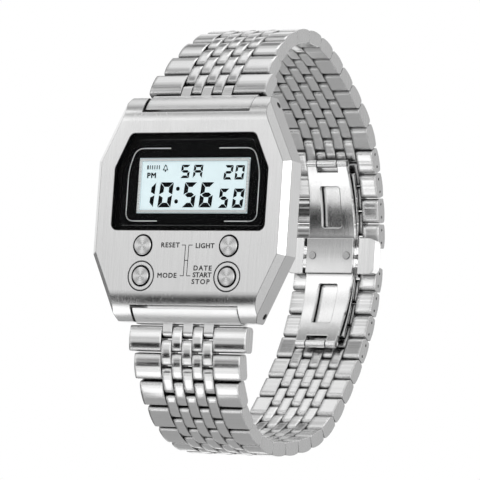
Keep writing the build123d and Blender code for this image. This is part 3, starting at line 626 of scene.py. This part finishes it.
def stroke(path, width):
    quads = []
    for (x0, z0), (x1, z1) in zip(path, path[1:]):
        length = math.hypot(x1 - x0, z1 - z0)
        along = ((x1 - x0) / length * width / 2, (z1 - z0) / length * width / 2)
        side = (-along[1], along[0])
        reach = (along[0] * OVERLAP, along[1] * OVERLAP)
        quads.append(
            [
                (x0 - reach[0] + side[0], z0 - reach[1] + side[1]),
                (x1 + reach[0] + side[0], z1 + reach[1] + side[1]),
                (x1 + reach[0] - side[0], z1 + reach[1] - side[1]),
                (x0 - reach[0] - side[0], z0 - reach[1] - side[1]),
            ]
        )
    return quads


def disc(x, z, radius, count=20):
    turn = 2 * math.pi / count
    return [(x + radius * math.cos(turn * i), z + radius * math.sin(turn * i)) for i in range(count)]


def rectangle(x, z, width, height):
    return [(x + i * width / 2, z + j * height / 2) for i, j in ((-1, -1), (1, -1), (1, 1), (-1, 1))]


# Digits of the display: slanted bars with mitred ends
SEGMENTS = {
    "0": "abcdef",
    "1": "bc",
    "2": "abged",
    "5": "afgcd",
    "6": "afgedc",
    "S": "afgcd",
    "A": "abcefg",
}
SLANT = 0.09
GAP_SHARE = 0.06
LEAST_GAP = 0.02
TIP_SHARE = 0.3
MITRE_SHARE = 0.5
frame_low, frame_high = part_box("lcd_frame")
display_left = frame_low.x / MM
display_width = (frame_high.x - frame_low.x) / MM
display_top = frame_high.z / MM
display_height = (frame_high.z - frame_low.z) / MM


# A place on the display by its shares of the width from the left and of the height from the top
def on_display(u, v):
    return display_left + display_width * u, display_top - display_height * v


def digit(character, u0, u1, v0, v1, weight):
    x0, top = on_display(u0, v0)
    x1, bottom = on_display(u1, v1)
    x1 -= SLANT * (top - bottom)
    middle = (top + bottom) / 2
    w = weight
    g = GAP_SHARE * weight + LEAST_GAP
    tip = g + w * TIP_SHARE
    mitre = w + g * MITRE_SHARE
    bars = {
        "a": [(x0 + g, top), (x1 - g, top), (x1 - w - g, top - w), (x0 + w + g, top - w)],
        "d": [(x0 + g, bottom), (x1 - g, bottom), (x1 - w - g, bottom + w), (x0 + w + g, bottom + w)],
        "b": [(x1, top - g), (x1, middle + g), (x1 - w, middle + w / 2 + g), (x1 - w, top - w - g)],
        "c": [(x1, bottom + g), (x1, middle - g), (x1 - w, middle - w / 2 - g), (x1 - w, bottom + w + g)],
        "f": [(x0, top - g), (x0, middle + g), (x0 + w, middle + w / 2 + g), (x0 + w, top - w - g)],
        "e": [(x0, bottom + g), (x0, middle - g), (x0 + w, middle - w / 2 - g), (x0 + w, bottom + w + g)],
        "g": [
            (x0 + tip, middle),
            (x0 + mitre, middle + w / 2),
            (x1 - mitre, middle + w / 2),
            (x1 - tip, middle),
            (x1 - mitre, middle - w / 2),
            (x0 + mitre, middle - w / 2),
        ],
    }
    return [[(x + SLANT * (z - bottom), z) for x, z in bars[key]] for key in SEGMENTS[character]]


# Rows of digits: top and bottom, weight of the bars, then each digit with its left and right side
digit_rows = [
    (0.435, 0.90, 0.86, [("1", 0.066, 0.152), ("0", 0.176, 0.313), ("5", 0.398, 0.527), ("6", 0.550, 0.683)]),
    (0.552, 0.91, 0.68, [("5", 0.724, 0.822), ("0", 0.850, 0.958)]),
    (0.11, 0.358, 0.48, [("S", 0.367, 0.455), ("A", 0.480, 0.572)]),
    (0.12, 0.388, 0.48, [("2", 0.758, 0.845), ("0", 0.858, 0.948)]),
]
shapes = []
for v0, v1, weight, digits in digit_rows:
    for character, u0, u1 in digits:
        shapes += digit(character, u0, u1, v0, v1, weight)

# Colon of the time
COLON_U = 0.348
COLON_FOOT = 0.7
for v in (0.555, 0.79):
    x, z = on_display(COLON_U, v)
    shapes.append(disc(x + SLANT * (COLON_FOOT - v) * display_height, z, 0.40))

# Six small bars, the first of them wider
BAR_HEIGHT = 0.76
BAR_STEP = 0.021
for index, width in enumerate((0.32, 0.19, 0.19, 0.19, 0.19, 0.19)):
    x, z = on_display(0.066 + index * BAR_STEP, 0.155)
    shapes.append(rectangle(x, z, width, BAR_HEIGHT))

# Bell: outline, clapper and knob
bell_x, bell_z = on_display(0.228, 0.17)
half_bell = [(0.5, -0.35), (0.33, -0.12), (0.28, 0.2), (0.12, 0.42)]
bell = [(-x, z) for x, z in half_bell] + half_bell[::-1] + [(-0.5, -0.35)]
shapes += stroke([(bell_x + x, bell_z + z) for x, z in bell], 0.16)
shapes.append(disc(bell_x, bell_z - 0.55, 0.16))
shapes.append(disc(bell_x, bell_z + 0.55, 0.13))
display_front = lcd_y - 0.01
printed("display_digits", shapes, display_front, ink_and_shadow_black, DISPLAY_INK)

# Words: height is that of the capitals, weight thickens the strokes
CAPITAL_SHARE = 0.72
LETTER_DEPTH = 0.008


def lettering(name, words, x, z, y, height, stretch, material, spacing, weight):
    curve = bpy.data.curves.new(name, "FONT")
    curve.body = words
    curve.size = height * MM / CAPITAL_SHARE
    curve.align_y = "CENTER"
    curve.extrude = LETTER_DEPTH * MM
    curve.space_character = spacing
    curve.resolution_u = 3
    curve.offset = weight * MM
    source = bpy.data.objects.new(name, curve)
    bpy.context.scene.collection.objects.link(source)
    bpy.context.view_layer.update()
    mesh = bpy.data.meshes.new_from_object(source.evaluated_get(bpy.context.evaluated_depsgraph_get()))
    bpy.data.objects.remove(source)
    turn = Matrix.Translation((x * MM, (y - LETTER_DEPTH) * MM, z * MM)) @ Matrix.Rotation(math.pi / 2, 4, "X")
    mesh.transform(turn @ Matrix.Diagonal((stretch, 1, 1, 1)))
    mesh.name = name
    thing = add_piece(name, mesh, material)
    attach(thing, "case")


pm_x, pm_z = on_display(0.062, 0.31)
lettering("display_half", "PM", pm_x, pm_z, display_front, 0.95, 1.1, ink_and_shadow_black, spacing=1.15, weight=0.06)

LABEL_HEIGHT = 0.9
LABEL_STRETCH = 1.08
LABEL_WEIGHT = 0.03
upper_row = light_centre[1]
lower_row = start_centre[1]
labels = {
    "label_reset": ("RESET", -5.26, upper_row + 0.05, 1.15),
    "label_light": ("LIGHT", 2.1, upper_row - 0.05, 1.08),
    "label_mode": ("MODE", -5.65, lower_row + 0.1, 1.15),
    "label_date": ("DATE", 1.95, lower_row + 1.5, 1.25),
    "label_start": ("START", 1.92, lower_row + 0.25, 1.0),
    "label_stop": ("STOP", 1.78, lower_row - 1.0, 1.28),
}
for name, (words, x, z, spacing) in labels.items():
    lettering(name, words, x, z, face_y, LABEL_HEIGHT, LABEL_STRETCH, ink_grey, spacing, LABEL_WEIGHT)

# Lines between the words
LINE_WIDTH = 0.13
top = upper_row + 0.1
bottom = lower_row + 0.1
middle = (top + bottom) / 2
paths = [
    [(-0.75, top), (0.0, top), (-0.05, bottom), (-0.8, bottom)],
    [(1.5, top), (0.7, top), (0.65, bottom), (1.4, bottom)],
    [(0.0, middle), (0.7, middle)],
]
lines = [quad for path in paths for quad in stroke(path, LINE_WIDTH)]
printed("label_lines", lines, face_y, ink_grey, FACE_INK)


# Painted shadow along the rim of each button's well and around the two rings, printed in black
WELL_GAP = 0.2
WELL_RIM = 0.1
RING_RIM = 0.16


def annulus(x, z, inner, outer, steps=48):
    parts = []
    for index in range(steps):
        corners = []
        for turn, reach in ((index, inner), (index + 1, inner), (index + 1, outer), (index, outer)):
            angle = 2 * math.pi * turn / steps
            corners.append((x + reach * math.cos(angle), z + reach * math.sin(angle)))
        parts.append(corners)
    return parts


def half_width(name):
    low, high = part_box(name)
    return (high.x - low.x) / 2 / MM


ring_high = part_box("button_rings")[1]
ring_reach = ring_high.x / MM - start_centre[0]
for name, (x, z) in zip(BUTTONS, button_centres):
    well_reach = half_width(name) + WELL_GAP
    rims = annulus(x, z, well_reach, well_reach + WELL_RIM)
    if name in RINGED_BUTTONS:
        rims += annulus(x, z, ring_reach, ring_reach + RING_RIM)
    printed(name.replace("button", "rim"), rims, face_y, ink_and_shadow_black, FACE_INK)

# Thin silver line on the display panel, with rounded corners
LONGEST_CORNER = 0.45
CORNER_STEPS = 8


def rounded_path(points, radius):
    path = [points[0]]
    for before, corner, after in zip(points, points[1:], points[2:]):
        ends = []
        for other in (before, after):
            length = math.hypot(other[0] - corner[0], other[1] - corner[1])
            share = min(LONGEST_CORNER, radius / length)
            ends.append([corner[k] + (other[k] - corner[k]) * share for k in range(2)])
        for index in range(CORNER_STEPS + 1):
            t = index / CORNER_STEPS
            weights = ((1 - t) ** 2, 2 * t * (1 - t), t**2)
            path.append(tuple(sum(w * p[k] for w, p in zip(weights, (ends[0], corner, ends[1]))) for k in range(2)))
    path.append(points[-1])
    return path


half_line = [(5.2, 11.2), (12.6, 11.2), (13.95, 7.2), (13.95, -2.3), (7.2, -2.3)]
bands = []
for side in (-1, 1):
    path = rounded_path([(side * x, z + dial_z) for x, z in half_line], 1.7)
    bands += stroke(path, 0.21)
printed("panel_line", bands, panel_y - 0.01, line_silver, PANEL_INK)

# Room: dark and pale tones by height and side, which the steel mirrors, and a white backdrop
world = bpy.data.worlds.new("room")
bpy.context.scene.world = world
world.use_nodes = True
tree = world.node_tree
tree.nodes.clear()
output = new_node(tree, "ShaderNodeOutputWorld")
direction = new_node(tree, "ShaderNodeTexCoord")
split = new_node(tree, "ShaderNodeSeparateXYZ")
join(tree, direction.outputs["Generated"], split.inputs[0])
height = math_node(tree, "MULTIPLY_ADD", split.outputs["Z"], 0.5)
height.node.inputs[2].default_value = 0.5


# Tones of one side by height, from straight below (0) to straight above (1)
def room_side(stops):
    ramp = new_node(tree, "ShaderNodeValToRGB")
    ramp.color_ramp.interpolation = "EASE"
    while len(ramp.color_ramp.elements) < len(stops):
        ramp.color_ramp.elements.new(0.5)
    for element, (position, value) in zip(ramp.color_ramp.elements, stops):
        element.position = position
        element.color = (value, value, value, 1)
    join(tree, height, ramp.inputs["Fac"])
    return ramp.outputs["Color"]


left_tones = [
    (0.0, 0.10),
    (0.08, 0.20),
    (0.14, 0.55),
    (0.19, 0.25),
    (0.23, 0.45),
    (0.27, 0.04),
    (0.41, 0.0),
    (0.455, 0.24),
    (0.50, 0.66),
    (0.55, 0.74),
    (0.61, 1.02),
    (0.68, 0.80),
    (0.74, 0.28),
    (0.80, 1.00),
    (0.87, 0.25),
    (0.94, 1.00),
    (1.0, 0.70),
]
right_tones = [
    (0.0, 0.30),
    (0.14, 0.40),
    (0.25, 0.60),
    (0.31, 0.95),
    (0.37, 0.46),
    (0.44, 0.85),
    (0.52, 1.20),
    (0.60, 1.15),
    (0.68, 0.85),
    (0.78, 0.50),
    (0.88, 0.80),
    (1.0, 0.60),
]
ROOM_STRENGTH = 0.95
sides = new_node(tree, "ShaderNodeMix", data_type="RGBA")
join(tree, map_range(tree, split.outputs["X"], (-0.25, 0.45), (0.0, 1.0)), sides.inputs["Factor"])
join(tree, room_side(left_tones), sides.inputs["A"])
join(tree, room_side(right_tones), sides.inputs["B"])
room = new_node(tree, "ShaderNodeVectorMath", operation="SCALE")
join(tree, sides.outputs["Result"], room.inputs[0])
join(tree, map_range(tree, split.outputs["Y"], (0.1, 0.8), (1.0, 0.42)), room.inputs["Scale"])
lit = new_node(tree, "ShaderNodeBackground", inputs={"Strength": ROOM_STRENGTH})
join(tree, room.outputs[0], lit.inputs["Color"])

# The camera sees the backdrop all round, metal and glass see it where it stands, behind the watch
white = new_node(tree, "ShaderNodeBackground", inputs={"Color": (1, 1, 1, 1), "Strength": 1.0})
rays = new_node(tree, "ShaderNodeLightPath")
mirror_rays = math_node(tree, "MAXIMUM", rays.outputs["Is Glossy Ray"], rays.outputs["Is Transmission Ray"])
backdrop = map_range(tree, split.outputs["Y"], (0.45, 0.75), (0.0, 1.0))
mirrored = math_node(tree, "MULTIPLY", mirror_rays, backdrop)
mix = new_node(tree, "ShaderNodeMixShader")
join(tree, math_node(tree, "MAXIMUM", rays.outputs["Is Camera Ray"], mirrored), mix.inputs[0])
join(tree, lit.outputs[0], mix.inputs[1])
join(tree, white.outputs[0], mix.inputs[2])
join(tree, mix.outputs[0], output.inputs["Surface"])


# Soft boxes: place, aim, width and height, power
def soft_box(name, place, aim, size, power):
    light = bpy.data.lights.new(name, "AREA")
    light.shape = "RECTANGLE"
    light.size, light.size_y = size
    light.energy = power
    thing = bpy.data.objects.new(name, light)
    bpy.context.scene.collection.objects.link(thing)
    thing.location = place
    thing.rotation_mode = "QUATERNION"
    thing.rotation_quaternion = (Vector(aim) - Vector(place)).to_track_quat("-Z", "Y")


# Large ones light the watch; small cards close to it are mirrored by the dial, the rows or the clasp alone
soft_box("key", (-0.35, -0.60, 0.14), (0, 0, 0), (0.35, 0.10), 0.02)
soft_box("fill", (0.50, -0.30, 0.05), (0, 0, 0), (0.12, 0.45), 0.22)
soft_box("top", (0.0, 0.05, 0.55), (0, 0, 0), (0.4, 0.2), 0.25)
soft_box("rim", (0.35, 0.45, 0.1), (0, 0, 0), (0.2, 0.3), 0.12)
soft_box("low_card", (-0.045, -0.050, -0.036), (-0.003, 0.022, 0.006), (0.024, 0.030), 0.0021)
soft_box("row_card", (-0.020, -0.074, -0.0595), (0, -0.031, -0.034), (0.05, 0.038), 0.0052)
soft_box("edge_card", (-0.275, 0.153, 0.03), (-0.02, -0.028, 0.0), (0.08, 0.2), 0.012)
soft_box("high_card", (-0.045, -0.050, 0.034), (-0.003, 0.022, -0.010), (0.024, 0.024), 0.0009)

# Floor: a plain pale grey square far below
FLOOR_REACH = 0.17
FLOOR_Z = -0.13
FLOOR_TONE = 0.55
floor_corners = [(i * FLOOR_REACH, j * FLOOR_REACH, FLOOR_Z) for i, j in ((-1, -1), (1, -1), (1, 1), (-1, 1))]
floor_mesh = bpy.data.meshes.new("floor")
floor_mesh.from_pydata(floor_corners, [], [[0, 1, 2, 3]])
floor_material, tree, shader, place = new_material("floor")
blotches = group_node(tree, wear, place, Scale=5.0)
join(tree, spread(tree, blotches.outputs["Blotches"], 0.6, 0.8), shader.inputs["Roughness"])
shader.inputs["Base Color"].default_value = (FLOOR_TONE, FLOOR_TONE, FLOOR_TONE, 1)
floor = add_piece("floor", floor_mesh, floor_material)

# Camera: long lens from the right of the dial, a little below and slightly rolled
AZIMUTH = math.radians(30.3)
ELEVATION = math.radians(-5.98)
ROLL = math.radians(3.8)
DISTANCE = 0.75
SENSOR_WIDTH = 36.0
PICTURE_WIDTH = 480
PIXELS_PER_MM = 5.36
target = Vector((0.74, face_y + 18.27, dial_z - 3.65)) * MM
level = math.cos(ELEVATION)
out = Vector((math.sin(AZIMUTH) * level, -math.cos(AZIMUTH) * level, math.sin(ELEVATION)))
right = (-out).cross(Vector((0, 0, 1))).normalized()
up = right.cross(-out)
right_rolled = math.cos(ROLL) * right + math.sin(ROLL) * up
up_rolled = -math.sin(ROLL) * right + math.cos(ROLL) * up
camera_data = bpy.data.cameras.new("camera")
camera_data.sensor_width = SENSOR_WIDTH
camera_data.lens = PIXELS_PER_MM / MM * DISTANCE * SENSOR_WIDTH / PICTURE_WIDTH
camera_data.clip_start = 0.05
camera_data.clip_end = 20.0
camera = bpy.data.objects.new("camera", camera_data)
scene = bpy.context.scene
scene.collection.objects.link(camera)
spin = Matrix((right_rolled, up_rolled, out)).transposed().to_4x4()
camera.matrix_world = Matrix.Translation(target + out * DISTANCE) @ spin
scene.camera = camera
scene.view_settings.view_transform = "Standard"
